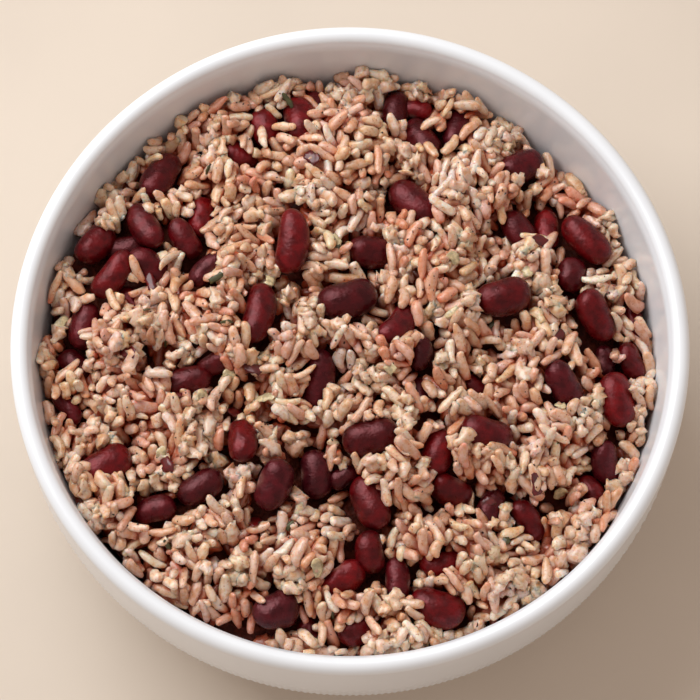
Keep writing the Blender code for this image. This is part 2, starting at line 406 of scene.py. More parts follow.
def bean_skin():
    """Boiled kidney bean: a taut dark skin with a satin shine, mottled, and pale at the eye."""
    material, tree, shader, place = new_material("red_kidney_bean_skin")
    tint = add_node(tree, "ShaderNodeAttribute", attribute_name="skin_tint").outputs["Color"]
    colour = darkened(tree, tint, (0.4, 0.3, 0.4), spots(tree, place, 3.0 * MM, 0.36, 0.64))
    worn = spots(tree, place, 1.8 * MM, 0.3, 0.7)
    dull = add_node(
        tree, "ShaderNodeMapRange", [("Value", worn), ("To Min", 0.2), ("To Max", 0.4)]
    )
    set_shader(
        tree, shader, base_color=colour, roughness=dull.outputs["Result"], ior=1.45,
        specular_ior_level=0.65, specular_tint=(1.0, 0.4, 0.42, 1.0),
    )
    fine = spots(tree, place, 1.1 * MM, 0.2, 0.8, 5.0)
    bump(tree, shader, fine, 0.2 * MM, 0.6)
    return material


def scrap_material(name, colour, roughness, light_inside):
    """A small bit of boiled vegetable or spice, soft and wet."""
    material, tree, shader, place = new_material(name)
    share = spots(tree, place, 1.5 * MM)
    dark = tuple(0.6 * part for part in colour)
    mixed = blend_colours(tree, share, rgba(dark), rgba(colour))
    set_shader(
        tree, shader, base_color=mixed, roughness=roughness, subsurface_weight=light_inside,
        subsurface_scale=0.6 * MM, subsurface_radius=(1.0, 0.8, 0.6), coat_weight=0.3,
        coat_roughness=0.2,
    )
    return material


# --- The bowl ---


def wall(angle, mouth, base, depth, lean):
    """Radius and depth along a wall. The curve is a superellipse: from the mouth to the base the
    radius falls with the cosine of the angle, and the depth grows with the root of its sine.
    """
    down = depth * np.sqrt(np.sin(angle))
    return base + (mouth - lean * down - base) * np.cos(angle), down


def inner_wall(angle):
    """Radius and depth under the rim of the bowl's inside."""
    depth = RIM_HEIGHT - FOOT_RECESS - FLOOR_THICKNESS
    return wall(angle, RIM_RADIUS - LIP, FLOOR_RADIUS, depth, INNER_LEAN)


def outer_wall(angle):
    """Radius and depth under the rim of the bowl's outside."""
    return wall(angle, RIM_RADIUS, FOOT_RADIUS, RIM_HEIGHT - FOOT_HEIGHT, OUTER_LEAN)


def inner_angle(down):
    """Angle at which the inner wall has reached this depth."""
    depth = RIM_HEIGHT - FOOT_RECESS - FLOOR_THICKNESS
    return np.arcsin(np.clip(down / depth, 0, 1) ** 2)


def inner_radius(down):
    """Radius of the bowl's inside at this depth under the rim."""
    return inner_wall(inner_angle(down))[0]


def evenly_spaced(curve, first, last, count):
    """Points of a curve of an angle, with the same length of curve from each to the next."""
    angle = np.linspace(first, last, 2000)
    radius, down = curve(angle)
    length = np.concatenate([[0], np.cumsum(np.hypot(np.diff(radius), np.diff(down)))])
    at = np.interp(np.linspace(0, length[-1], count), length, angle)
    radius, down = curve(at)
    return np.stack([radius, RIM_HEIGHT - down], axis=-1)


def bowl_section():
    """(radius, height) from the middle of the floor, over the round lip, to the middle of the foot.
    The lip is a half circle whose ends run into the two walls.
    """
    quarter = math.pi / 2
    half_lip = LIP / 2
    lip_angle = float(inner_angle(half_lip))
    inner = evenly_spaced(inner_wall, quarter, lip_angle, INNER_STEPS)
    outer = evenly_spaced(outer_wall, lip_angle, quarter, OUTER_STEPS)
    turn = np.linspace(math.pi, 0, LIP_STEPS + 2)[1:-1]
    lip = np.array([RIM_RADIUS - half_lip, RIM_HEIGHT - half_lip]) + half_lip * np.stack(
        [np.cos(turn), np.sin(turn)], axis=-1
    )
    edge = 0.8 * MM
    corner = np.linspace(0, quarter, 4)
    foot_out = np.stack(
        [FOOT_RADIUS - edge + edge * np.cos(corner), edge - edge * np.sin(corner)], axis=-1
    )
    ring_in = FOOT_RADIUS - FOOT_RING
    foot_in = np.stack([ring_in + edge - edge * np.sin(corner), edge - edge * np.cos(corner)], axis=-1)
    recess = np.array([[ring_in - 1.5 * MM, FOOT_RECESS], [ring_in / 2, FOOT_RECESS]])
    floor = np.array([[FLOOR_RADIUS / 2, inner[0, 1]]])
    return np.concatenate([floor, inner, lip, outer, foot_out, foot_in, recess])


def studs(section, turn, outside, settings):
    """Low round studs in staggered rows on the outer wall, under a plain band. They are where the
    cosine of the way round times the cosine of the way down is above 0, and they fade in and out
    at the band's ends. Rows of the section outside this range stay plain.
    """
    steps = np.hypot(*np.diff(section, axis=0, prepend=section[:1]).T)
    first, last = outside
    length = np.cumsum(steps) - np.cumsum(steps)[first]
    way_down = (math.pi * length / settings.stud_row)[:, None]
    pattern = np.cos(settings.studs_round * turn)[None, :] * np.cos(way_down)
    start = settings.plain_band
    end = start + settings.studded_band
    fade = np.clip((length - start) / (4 * MM), 0, 1) * np.clip((end - length) / (8 * MM), 0, 1)
    fade[:first] = fade[last:] = 0
    return settings.stud_height * np.maximum(0, pattern) * fade[:, None]


def make_bowl(settings):
    """The section turned about Z, with each point moved outwards by the studs."""
    section = bowl_section()
    outer_start = 1 + INNER_STEPS + LIP_STEPS
    segments = 4 * settings.studs_round
    points = turned(section, segments)
    turn = np.arange(segments) * (2 * math.pi / segments)
    raised = studs(section, turn, (outer_start, outer_start + OUTER_STEPS), settings)
    points[..., 0] += np.cos(turn) * raised
    points[..., 1] += np.sin(turn) * raised
    triangles, quads = pod_faces(1, len(section), segments)
    top = np.array([[0, 0, section[0, 1]]])
    bottom = np.array([[0, 0, section[-1, 1]]])
    everything = np.concatenate([top, points.reshape(-1, 3), bottom])
    return mesh_object("glazed_bowl", everything, triangles[:, ::-1], quads[:, ::-1])


# --- The heap's height map ---


def cell_places():
    """The x and y of the middle of each cell of the height map."""
    steps = (np.arange(MAP_SIDE) + 0.5) * CELL - MAP_HALF
    return np.meshgrid(steps, steps, indexing="ij")


def soft_noise(seed, size):
    """Noise on the height map with lumps of about this size: white noise whose fine waves are
    damped by a bell curve of their frequency, scaled to a spread of 1.
    """
    white = np.random.default_rng(seed).standard_normal((MAP_SIDE, MAP_SIDE))
    waves = np.fft.fftfreq(MAP_SIDE, CELL)
    damped = np.exp(-((waves[:, None] ** 2 + waves[None, :] ** 2) * (size**2)) * 2.2)
    noise = np.fft.ifft2(np.fft.fft2(white) * damped).real
    return noise / noise.std()


def heal(heights, known):
    """Fills the unknown cells from their neighbours, over and over, until they lie smooth."""
    heights = np.where(known, heights, heights[known].mean())
    for _ in range(160):
        around = sum(np.roll(heights, shift, axis) for shift in (1, -1) for axis in (0, 1)) / 4
        heights = np.where(known, heights, around)
    return heights


@lru_cache(maxsize=None)
def heap_top():
    """The top of the CAD heap on the height map, with its bean pockets healed over."""
    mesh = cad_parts[HEAP_NODE].data
    tree = BVHTree.FromPolygons([v.co for v in mesh.vertices], [p.vertices for p in mesh.polygons])
    steps = (np.arange(MAP_SIDE // CAST_STEP) + 0.5) * CELL * CAST_STEP - MAP_HALF
    down = Vector((0, 0, -1))
    start = RIM_HEIGHT + 30 * MM
    hits = [[tree.ray_cast(Vector((x, y, start)), down)[0] for y in steps] for x in steps]
    heights = np.array([[hit.z if hit else np.nan for hit in row] for row in hits])
    known = ~np.isnan(heights)
    x, y = np.meshgrid(steps, steps, indexing="ij")
    for name in BEAN_NODES:
        low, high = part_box(name)
        known &= ~((x > low.x - MM) & (x < high.x + MM) & (y > low.y - MM) & (y < high.y + MM))
    healed = heal(heights, known)
    fine = (np.arange(MAP_SIDE) + 0.5) * CELL - MAP_HALF
    rows = np.array([np.interp(fine, steps, row) for row in healed])
    return np.array([np.interp(fine, steps, column) for column in rows.T]).T


def to_cell(value):
    """The number of the cell that holds this x or y."""
    return int(min(MAP_SIDE - 1, max(0, (value + MAP_HALF) / CELL)))


def sample(heights, x, y):
    """Heights at these places, from the nearest cells."""
    cells = [((np.asarray(value) + MAP_HALF) / CELL).astype(int) for value in (x, y)]
    i, j = (np.clip(cell, 0, MAP_SIDE - 1) for cell in cells)
    return heights[i, j]


def press(heights, middle, ahead, side, half):
    """Raises the height map to the top of an ellipsoid. Its axes are the unit vectors ahead and
    side and the one square to both, and half holds its half sizes along them.
    """
    reach = float(max(half)) + CELL
    i0, i1 = to_cell(middle[0] - reach), to_cell(middle[0] + reach) + 1
    j0, j1 = to_cell(middle[1] - reach), to_cell(middle[1] + reach) + 1
    x = ((np.arange(i0, i1) + 0.5) * CELL - MAP_HALF - middle[0])[:, None]
    y = ((np.arange(j0, j1) + 0.5) * CELL - MAP_HALF - middle[1])[None, :]
    up = np.cross(ahead, side)
    # The ellipsoid is the set where the squares of (p.axis / half) add up to 1. For each x and y
    # that is a quadratic in z, whose larger root is the top.
    square = linear_part = constant = 0.0
    for axis, size in ((ahead, half[0]), (side, half[1]), (up, half[2])):
        flat = (x * axis[0] + y * axis[1]) / size
        rise = axis[2] / size
        square = square + rise * rise
        linear_part = linear_part + 2 * flat * rise
        constant = constant + flat * flat
    inside = linear_part**2 - 4 * square * (constant - 1)
    top = (-linear_part + np.sqrt(np.maximum(inside, 0))) / (2 * square)
    patch = heights[i0:i1, j0:j1]
    raised = np.where(inside > 0, middle[2] + top, -1.0)
    np.maximum(patch, raised, out=patch)


# --- Beans ---


def bean_frames():
    """Middle, axes (ahead, side, up) and half sizes of each CAD bean, from how its points spread."""
    found = []
    for name in BEAN_NODES:
        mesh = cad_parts[name].data
        points = np.empty(len(mesh.vertices) * 3)
        mesh.vertices.foreach_get("co", points)
        points = np.unique(points.reshape(-1, 3).round(7), axis=0)
        middle = points.mean(axis=0)
        spread = np.linalg.eigh(np.cov((points - middle).T))[1]
        ahead, side = spread[:, 2], spread[:, 1]
        along = (points - middle) @ ahead
        across = (points - middle) @ side
        if np.mean((along**2 - np.mean(along**2)) * across) < 0:
            side = -side
        if np.cross(ahead, side)[2] < 0:
            ahead = -ahead
        up = np.cross(ahead, side)
        local = (points - middle) @ np.stack([ahead, side, up], axis=1)
        half = (local.max(axis=0) - local.min(axis=0)) / 2
        middle = middle + (local.max(axis=0) + local.min(axis=0)) / 2 @ np.stack([ahead, side, up])
        found.append((middle, ahead, side, half))
    return found


def sunken_frames():
    """The same for the beans that lie half under the rice, flat on the slope of the heap."""
    top = heap_top()
    rng = np.random.default_rng(5)
    found = []
    for x, y, heading, length, width, depth in SUNKEN_BEANS:
        x, y = x * MM, y * MM
        step = 4 * MM
        slope_x = (sample(top, x + step, y) - sample(top, x - step, y)) / (2 * step)
        slope_y = (sample(top, x, y + step) - sample(top, x, y - step)) / (2 * step)
        up = np.array([-slope_x, -slope_y, 1.0]) + rng.normal(0, 0.16, 3) * (1, 1, 0)
        up /= np.linalg.norm(up)
        turn = math.radians(heading)
        ahead = np.array([math.cos(turn), math.sin(turn), 0.0])
        ahead -= up * (ahead @ up)
        ahead /= np.linalg.norm(ahead)
        side = np.cross(up, ahead) * (1 if rng.random() < 0.5 else -1)
        if np.cross(ahead, side)[2] < 0:
            ahead = -ahead
        half = np.array([length, width, width * rng.uniform(0.8, 0.92)]) * MM / 2
        height = float(sample(top, x, y)) - depth * MM - half[2] * 0.55
        found.append((np.array([x, y, height]), ahead, side, half))
    return found


def bean_points(half, seed, wrinkle):
    """A kidney bean along X: pole, rings, pole. Its section is a round whose size follows a blunt
    half wave along the bean. The ends bend towards +Y, a hollow lies at the eye in the middle of
    that side, and soft waves and wrinkles make it uneven.
    """
    rings, segments = 44, 40
    rng = np.random.default_rng(seed)
    angle = np.linspace(0, math.pi, rings + 2)
    along = -np.cos(angle)[:, None]
    around = (np.arange(segments) * 2 * math.pi / segments)[None, :]
    size = np.sin(angle)[:, None] * (1 + along**2) ** 0.3
    size = size * (1 + rng.uniform(-0.07, 0.07) * along)
    facing = np.maximum(0, np.cos(around))
    hollow = rng.uniform(0.02, 0.10) * facing**2 * np.exp(-((along / 0.42) ** 2))
    waves = 0.0
    for _ in range(5):
        n, m, phase = rng.integers(1, 4), rng.integers(1, 4), rng.uniform(0, 2 * math.pi, 2)
        waves = waves + np.sin(n * 1.6 * along + phase[0]) * np.cos(m * around + phase[1])
    folds = 0.0
    for _ in range(9):
        pitch, round_by, phase = rng.uniform(-9, 9), rng.integers(0, 7), rng.uniform(0, 2 * math.pi)
        folds = folds + np.cos(pitch * along + round_by * around + phase)
    size = size * (1 + 0.014 * waves + wrinkle * 0.012 * folds - hollow)
    y = size * np.cos(around) * half[1] + rng.uniform(0.02, 0.12) * half[0] * (along**2 - 0.35)
    z = size * np.sin(around) * half[2]
    x = np.broadcast_to(along * half[0], y.shape)
    grid = np.stack([x, y, z], axis=-1)
    aside = np.minimum(around, 2 * math.pi - around)
    eye = np.exp(-((along / 0.2) ** 2)) * np.exp(-((aside / 0.34) ** 2))
    points = np.concatenate([grid[0, :1], grid[1:-1].reshape(-1, 3), grid[-1, :1]])
    mark = np.concatenate([eye[0, :1], eye[1:-1].ravel(), eye[-1, :1]])
    return points, mark, rings, segments


def bean_tint(settings, rng, mark):
    """The skin's colour at each point: the bean's own shade, paler at the eye."""
    other = settings.red if rng.random() < 0.45 else settings.purple
    share = rng.uniform(0.0, 1.0)
    shade = (1 - share) * np.array(settings.maroon) + share * np.array(other)
    shade = shade * rng.uniform(0.85, 1.65)
    pale = np.array(settings.flesh)
    weight = (mark * 0.8)[:, None]
    return shade[None] * (1 - weight) + pale[None] * weight


def make_bean(name, middle, ahead, side, half, settings, seed):
    """A bean in its place, as wrinkled as its seed says."""
    rng = np.random.default_rng(1000 + seed)
    wrinkle = rng.choice([0.2, 0.6, 1.3], p=[0.4, 0.35, 0.25])
    local, mark, rings, segments = bean_points(half, seed, wrinkle)
    axes = np.stack([ahead, side, np.cross(ahead, side)])
    points = local @ axes + middle
    triangles, quads = pod_faces(1, rings, segments)
    piece = mesh_object(name, points, triangles, quads)
    paint(piece, "skin_tint", bean_tint(settings, rng, mark))
    return piece


# --- Rice ---

GRAIN_RINGS = 7
GRAIN_SEGMENTS = 8
SUPPORTS = 9  # places along a grain at which it can touch what is under it
GRAIN_REACH = 0.84  # share of its half length that the outermost of them are out
TRIED = 40  # places drawn at a time, of which the lowest gets the next bundle
MOST_IDLE = 700  # the heap is full after this many draws without a grain
STEEP_SHARE = 0.36  # share of the bundles that stand steeply
BROKEN_SHARE = 0.06
BURST_ABOVE = 0.85  # grains are burst where the mush noise is higher
CUT_AT = 0.45  # a broken grain ends at this share of its half length
WHOLE = 2.0  # for a grain that isn't cut
KINDS = ("cream", "tan", "rosy", "pale", "stained", "burst", "broken")


def resting_line(heights, stations):
    """Height and slope of a rod that lies on the heights at its stations: of all lines through a
    station on each side of its middle, the one that is highest at the middle.
    """
    left, right = np.nonzero(stations < 0)[0], np.nonzero(stations > 0)[0]
    s0, s1 = stations[left][:, None], stations[right][None, :]
    h0, h1 = heights[left][:, None], heights[right][None, :]
    slope = (h1 - h0) / (s1 - s0)
    middle = h0 - slope * s0
    best = np.unravel_index(np.argmax(middle), middle.shape)
    return float(middle[best]), float(slope[best])


def bean_reach(bean):
    """How far each cell is from the middle of a bean: below 1 over it, and above 1 beside it."""
    x, y = cell_places()
    middle, ahead, side, half = bean
    dx, dy = x - middle[0], y - middle[1]
    along, across = dx * ahead[0] + dy * ahead[1], dx * side[0] + dy * side[1]
    return np.hypot(along / half[0], across / half[1])


def heap_goal(settings, beans, sunken):
    """Heights that the grains fill up to: the CAD top with lumps, with gaps between the clumps
    where a second noise is high, and with gaps beside the beans where a third one is.
    """
    x, y = cell_places()
    calm = 1 - 0.4 * np.clip(y / (80 * MM), 0, 1)  # the far side is flatter
    lumps = 0.75 * soft_noise(10, 17 * MM) + 0.6 * soft_noise(11, 9 * MM)
    lumps += 0.18 * soft_noise(12, 4 * MM)
    gaps = np.clip((soft_noise(13, 8 * MM) - 1.0) / 0.6, 0, 1)
    piled = settings.far_rise * np.clip((y - 45 * MM) / (45 * MM), 0, 1)
    piled += settings.near_rise * np.clip((0.5 * x - 0.87 * y - 40 * MM) / (45 * MM), 0, 1)
    goal = heap_top() + piled + calm * (settings.clump * (lumps - 0.35) - settings.gap * gaps)
    loose = np.clip(0.6 + 0.6 * soft_noise(14, 9 * MM), 0, 1)
    for bean in beans + sunken:
        far = bean_reach(bean)
        goal = goal - settings.moat * loose * np.exp(-(((far - 1.2) / 0.3) ** 2))
    for bean in sunken:
        goal = goal - 2.0 * MM * np.exp(-((bean_reach(bean) / 1.3) ** 4))
    return np.minimum(goal, RIM_HEIGHT - 2.0 * MM)


def bean_cover(beans, share):
    """Where the beans lie, out to this share of their outline, so that hardly a grain lies on them."""
    covered = np.zeros((MAP_SIDE, MAP_SIDE), bool)
    for bean in beans:
        covered |= bean_reach(bean) < share
    return covered


def lie_on(heights, x, y, heading, half, pitch, rng):
    """Height and axes of a small thing that lies on the heights at this place and heading. It rests
    as a rod does, pitched more by a tangent, or it is stuck in by one end if that is steep. It is
    rolled a little about its length.
    """
    ux, uy = math.cos(heading), math.sin(heading)
    stations = np.linspace(-GRAIN_REACH, GRAIN_REACH, SUPPORTS) * half[0]
    px, py = x + stations * ux, y + stations * uy
    out = half[1] * 0.5
    under = np.maximum(
        sample(heights, px - uy * out, py + ux * out), sample(heights, px + uy * out, py - ux * out)
    )
    middle, slope = resting_line(under, stations)
    slope = max(-1.3, min(1.3, slope + rng.normal(0, 0.1))) + pitch
    if abs(pitch) > 0.5:
        middle = float(under.mean()) + half[0] * 0.22
    ahead = np.array([ux, uy, slope])
    ahead /= np.linalg.norm(ahead)
    side = np.array([-uy, ux, 0.0])
    side = side + np.cross(ahead, side) * rng.normal(0, 0.35)
    side -= ahead * (side @ ahead)
    side /= np.linalg.norm(side)
    return middle + half[2] * 0.62, ahead, side


@lru_cache(maxsize=None)
def laid_heap():
    """Every bean's frame, and for each grain its middle, axes, half sizes, and whether it is broken.
    Grains are laid in small bundles that share a heading and a pitch, as they stick together.
    """
    settings = bpy.context.scene.rice_settings
    x, y = cell_places()
    beans = bean_frames()
    sunken = sunken_frames()
    heights = heap_top() - settings.core_depth
    for middle, ahead, side, half in sunken + beans:
        press(heights, middle, ahead, side, half)
    goal = heap_goal(settings, beans, sunken)
    wall_radius = inner_radius(RIM_HEIGHT - goal)
    clear = bean_cover(beans, 0.92) | bean_cover(sunken, 0.72)
    goal[(np.hypot(x, y) > wall_radius - 1.2 * MM) | clear] = -1.0
    drift = math.pi / 2 + soft_noise(21, 10 * MM) * 0.7
    mush = soft_noise(22, 7 * MM)
    rng = np.random.default_rng(77)
    rows = []
    idle = 0
    while len(rows) < settings.most_grains and idle < MOST_IDLE:
        tried = rng.integers(0, MAP_SIDE, (2, TRIED))
        lack = goal[tuple(tried)] - heights[tuple(tried)]
        best = tuple(tried[:, int(np.argmax(lack))])
        idle += 1
        if lack.max() < 0.8 * MM:
            continue
        spot = np.array([x[best], y[best]])
        room = wall_radius[best] - 0.8 * MM
        shared = drift[best] + rng.normal(0, 0.5)
        if rng.random() < STEEP_SHARE:
            pitch = rng.choice([-1, 1]) * rng.uniform(0.4, 1.6)
        else:
            pitch = rng.normal(0, 0.16)
        burst = mush[best] + rng.normal(0, 0.3) > BURST_ABOVE
        mates = rng.integers(1, 5)
        for mate in range(mates):
            heading = shared + rng.normal(0, 0.9 if burst else 0.22)
            broken = not burst and rng.random() < BROKEN_SHARE
            length = settings.grain_length * (
                rng.uniform(0.5, 0.75) if broken else rng.normal(1, 0.17)
            )
            width = settings.grain_width * rng.normal(1.0, 0.11)
            half = np.array([length / 2, width / 2, width * rng.uniform(0.39, 0.47)])
            if burst:
                half = half * (rng.uniform(0.6, 0.95), rng.uniform(1.1, 1.4), rng.uniform(0.95, 1.2))
            aside = (mate - (mates - 1) / 2) * width * (0.8 if burst else 0.98)
            onward = rng.normal(0, 1.2 * MM)
            cx = spot[0] - math.sin(heading) * aside + math.cos(heading) * onward
            cy = spot[1] + math.cos(heading) * aside + math.sin(heading) * onward
            if sample(goal, cx, cy) - sample(heights, cx, cy) < 0.3 * MM:
                continue
            reach = np.array([math.cos(heading), math.sin(heading)]) * half[0] * GRAIN_REACH
            ends = math.hypot(cx + reach[0], cy + reach[1]), math.hypot(cx - reach[0], cy - reach[1])
            if max(ends) > room:
                continue
            height, ahead, side = lie_on(heights, cx, cy, heading, half, pitch, rng)
            if height > sample(goal, cx, cy) + rng.uniform(1.5, 3.2) * MM:
                continue
            idle = 0
            place = np.array([cx, cy, height])
            filled = (0.8, 0.8, 0.72) if burst else (0.92, 0.92, 0.95)
            press(heights, place, ahead, side, half * filled)
            rows.append((place, ahead, side, half, broken, burst))
    return beans, sunken, rows, heights


@lru_cache(maxsize=None)
def smoothed_heap():
    """The laid heap's heights with lumps of the size of a grain smoothed away."""
    waves = np.fft.fftfreq(MAP_SIDE, CELL)
    damped = np.exp(-2 * (math.pi * 1.5 * MM) ** 2 * (waves[:, None] ** 2 + waves[None, :] ** 2))
    return np.fft.ifft2(np.fft.fft2(laid_heap()[3]) * damped).real


def grain_meshes(place, ahead, side, half, cut, crumple, seed):
    """Points of many grains at once: pole, rings, pole for each. A grain's section is an ellipse
    whose size follows a blunt half wave along it. It bends and sways a little, one end is fuller,
    the bran is uneven by a share that crumple gives, and a broken grain is cut off flat.
    """
    rng = np.random.default_rng(seed)
    count = len(place)
    angle = np.linspace(0, math.pi, GRAIN_RINGS + 2)[1:-1]
    along = -np.cos(angle)[None, :, None]
    around = (np.arange(GRAIN_SEGMENTS) * 2 * math.pi / GRAIN_SEGMENTS)[None, None, :]
    around = around + rng.uniform(0, 2 * math.pi, (count, 1, 1))
    size = np.sin(angle)[None, :, None] ** rng.uniform(0.45, 0.9, (count, 1, 1))
    size = size * (1 + rng.uniform(-0.16, 0.16, (count, 1, 1)) * along)
    size = size * (1 + 0.07 * np.cos(3 * around) + 0.06 * np.cos(2 * around + 1.3))
    size = size * (1 + rng.normal(0, 0.8 * crumple, (count, GRAIN_RINGS, 1)))
    size = size * (1 + rng.normal(0, crumple, (count, GRAIN_RINGS, GRAIN_SEGMENTS)))
    bend = rng.normal(0, 0.1, (count, 2, 1, 1))
    phase = rng.uniform(0, 2 * math.pi, (count, 2, 1, 1))
    reach = np.minimum(along, cut[:, None, None])
    x = reach * half[:, 0, None, None] * np.ones_like(size)
    x = x + rng.normal(0, 0.5 * crumple, x.shape) * half[:, 1, None, None]

    def sway(way, axis, far):
        return half[:, 0].reshape(far) * (way**2 - 0.3) * bend[:, axis].reshape(far) + (
            0.12 * half[:, 1].reshape(far) * np.sin(3.2 * way + phase[:, axis].reshape(far))
        )

    wide = (count, 1, 1)
    y = size * np.cos(around) * half[:, 1, None, None] + sway(reach, 0, wide)
    z = size * np.sin(around) * half[:, 2, None, None] + sway(reach, 1, wide)
    body = np.stack([x, y, z], axis=-1).reshape(count, -1, 3)
    ends = [
        np.stack([end * half[:, 0], sway(end, 0, (count,)), sway(end, 1, (count,))], axis=-1)
        for end in (-np.ones(count), np.minimum(1.0, cut))
    ]
    local = np.concatenate([ends[0][:, None], body, ends[1][:, None]], axis=1)
    axes = np.stack([ahead, side, np.cross(ahead, side)], axis=1)
    return np.einsum("nvk,nkc->nvc", local, axes) + place[:, None]


def grain_tints(settings, kind, place, points, seed):
    """A colour for each point of each grain. Its own shade leans to its kind's other shade with the
    clump it is in, and has broth stains on one tip and in folds. As painted shade, a point under the
    level of the grains round it, or low on its own grain, takes the stain colour, and a grain low
    between the clumps is darkened towards the gap shade.
    """
    rng = np.random.default_rng(seed)
    count = len(place)
    names = ("cream", "tan", "rosy", "pale", "stain_and_shade", "gap_shade")
    cream, tan, rosy, pale, stain_and_shade, gap_shade = (np.array(getattr(settings, name)) for name in names)
    mixes = {
        "cream": (cream, tan, 0.5), "tan": (tan, rosy, 0.4), "rosy": (rosy, tan, 0.5),
        "pale": (pale, cream, 0.7), "stained": (tan, stain_and_shade, 0.5), "burst": (tan, cream, 0.9),
        "broken": (tan, cream, 0.8),
    }
    main, other, most = mixes[kind]
    clump = sample(soft_noise(41, 9 * MM), place[:, 0], place[:, 1])
    share = np.clip(0.5 + 0.3 * clump + rng.normal(0, 0.22, count), 0, 1)[:, None] * most
    shade = (main * (1 - share) + other * share) * rng.normal(1.0, 0.06, (count, 1))
    warmth = sample(soft_noise(43, 6 * MM), place[:, 0], place[:, 1])
    shade[:, 2] *= np.clip(rng.normal(1.0, 0.05, count) + 0.03 * warmth, 0.8, 1.15)
    rings = np.repeat(np.arange(1, GRAIN_RINGS + 1), GRAIN_SEGMENTS)
    levels = np.concatenate([[0.0], rings, [GRAIN_RINGS + 1]])
    along = levels / (GRAIN_RINGS + 1) * 2 - 1
    side = rng.choice([-1.0, 1.0], (count, 1))
    strength = {"stained": 0.8, "pale": 0.1, "cream": 0.2, "burst": 0.6}.get(kind, 0.35)
    weight = np.clip(side * along[None] * 1.4 - 0.4, 0, 1) * rng.uniform(0, 1, (count, 1)) * strength
    weight = weight + rng.uniform(0, 0.25, (count, len(along))) * strength
    # Painted shade: a point below the smoothed heap, in a crevice between grains, or low on its own
    # grain takes more of the stain colour.
    under = sample(smoothed_heap(), points[..., 0], points[..., 1]) - points[..., 2]
    below = (points[..., 2].mean(axis=1, keepdims=True) - points[..., 2]) / MM
    weight = weight + np.clip(0.16 * below, -0.2, 0.3)
    weight = np.clip(weight + np.clip(under / (2.6 * MM) + 0.28, 0, 0.85), 0, 0.92)
    tints = shade[:, None] * (1 - weight[..., None]) + stain_and_shade[None, None] * weight[..., None]
    # Painted shade: a grain low between the clumps is darkened towards the gap shade colour.
    sunk = sample(heap_top(), place[:, 0], place[:, 1]) - place[:, 2]
    gap_shading = np.clip((sunk - 3.0 * MM) / (5.0 * MM), 0, 1)[:, None, None] * 0.8
    return (tints * (1 - gap_shading) + gap_shade * gap_shading).reshape(-1, 3)


def make_grains(kind, rows, settings, seed):
    """One piece that holds every grain of a kind, tinted point by point."""
    place, ahead, side, half = (np.array([row[k] for row in rows]) for k in range(4))
    cut = np.where([row[4] for row in rows], CUT_AT, WHOLE)
    crumple = 0.26 if kind == "burst" else 0.07
    points = grain_meshes(place, ahead, side, half, cut, crumple, seed)
    triangles, quads = pod_faces(len(rows), GRAIN_RINGS, GRAIN_SEGMENTS)
    piece = mesh_object(f"rice_{kind}", points.reshape(-1, 3), triangles, quads)
    paint(piece, "grain_tint", grain_tints(settings, kind, place, points, seed + 1))
    return piece


def laid_scraps(heights, covered, chosen, count, half, spread, seed):
    """Frames of small scraps that lie on the finished heap: at the chosen places, in millimetres,
    and then at random ones clear of the beans, up to the count. Their half sizes vary by the spread.
    """
    rng = np.random.default_rng(seed)
    places = [np.array(place) * MM for place in chosen]
    while len(places) < count:
        place = rng.uniform(-90 * MM, 90 * MM, 2)
        if math.hypot(*place) < 88 * MM and not sample(covered, *place):
            places.append(place)
    rows = []
    for x, y in places:
        size = np.array(half) * rng.uniform(1 - spread, 1 + spread, 3)
        height, ahead, side = lie_on(heights, x, y, rng.uniform(0, math.tau), size, 0.0, rng)
        rows.append((np.array([x, y, height - 0.2 * size[1]]), ahead, side, size))
    return [np.array([row[k] for row in rows]) for k in range(4)]


def make_scraps(name, frames, crumple, seed):
    """Crumpled flat pods, such as flakes and specks, from their frames."""
    place, ahead, side, half = frames
    points = grain_meshes(place, ahead, side, half, np.full(len(place), WHOLE), crumple, seed)
    triangles, quads = pod_faces(len(place), GRAIN_RINGS, GRAIN_SEGMENTS)
    return mesh_object(name, points.reshape(-1, 3), triangles, quads)


def grain_kinds(rows):
    """A number in KINDS for each grain. Pale and stained grains come together in clumps: a noise
    over the heap plus a draw of each grain's own is ranked, and the ranks are shared out.
    """
    rng = np.random.default_rng(9)
    place = np.array([row[0] for row in rows])
    value = sample(soft_noise(42, 7 * MM), place[:, 0], place[:, 1]) + rng.normal(0, 0.9, len(rows))
    rank = np.argsort(np.argsort(value)) / len(rows)
    kinds = np.select([rank < 0.22, rank < 0.42, rank < 0.7, rank < 0.93], [4, 2, 1, 0], 3)
    kinds = np.where([row[5] for row in rows], 5, kinds)
    return np.where([row[4] for row in rows], 6, kinds)


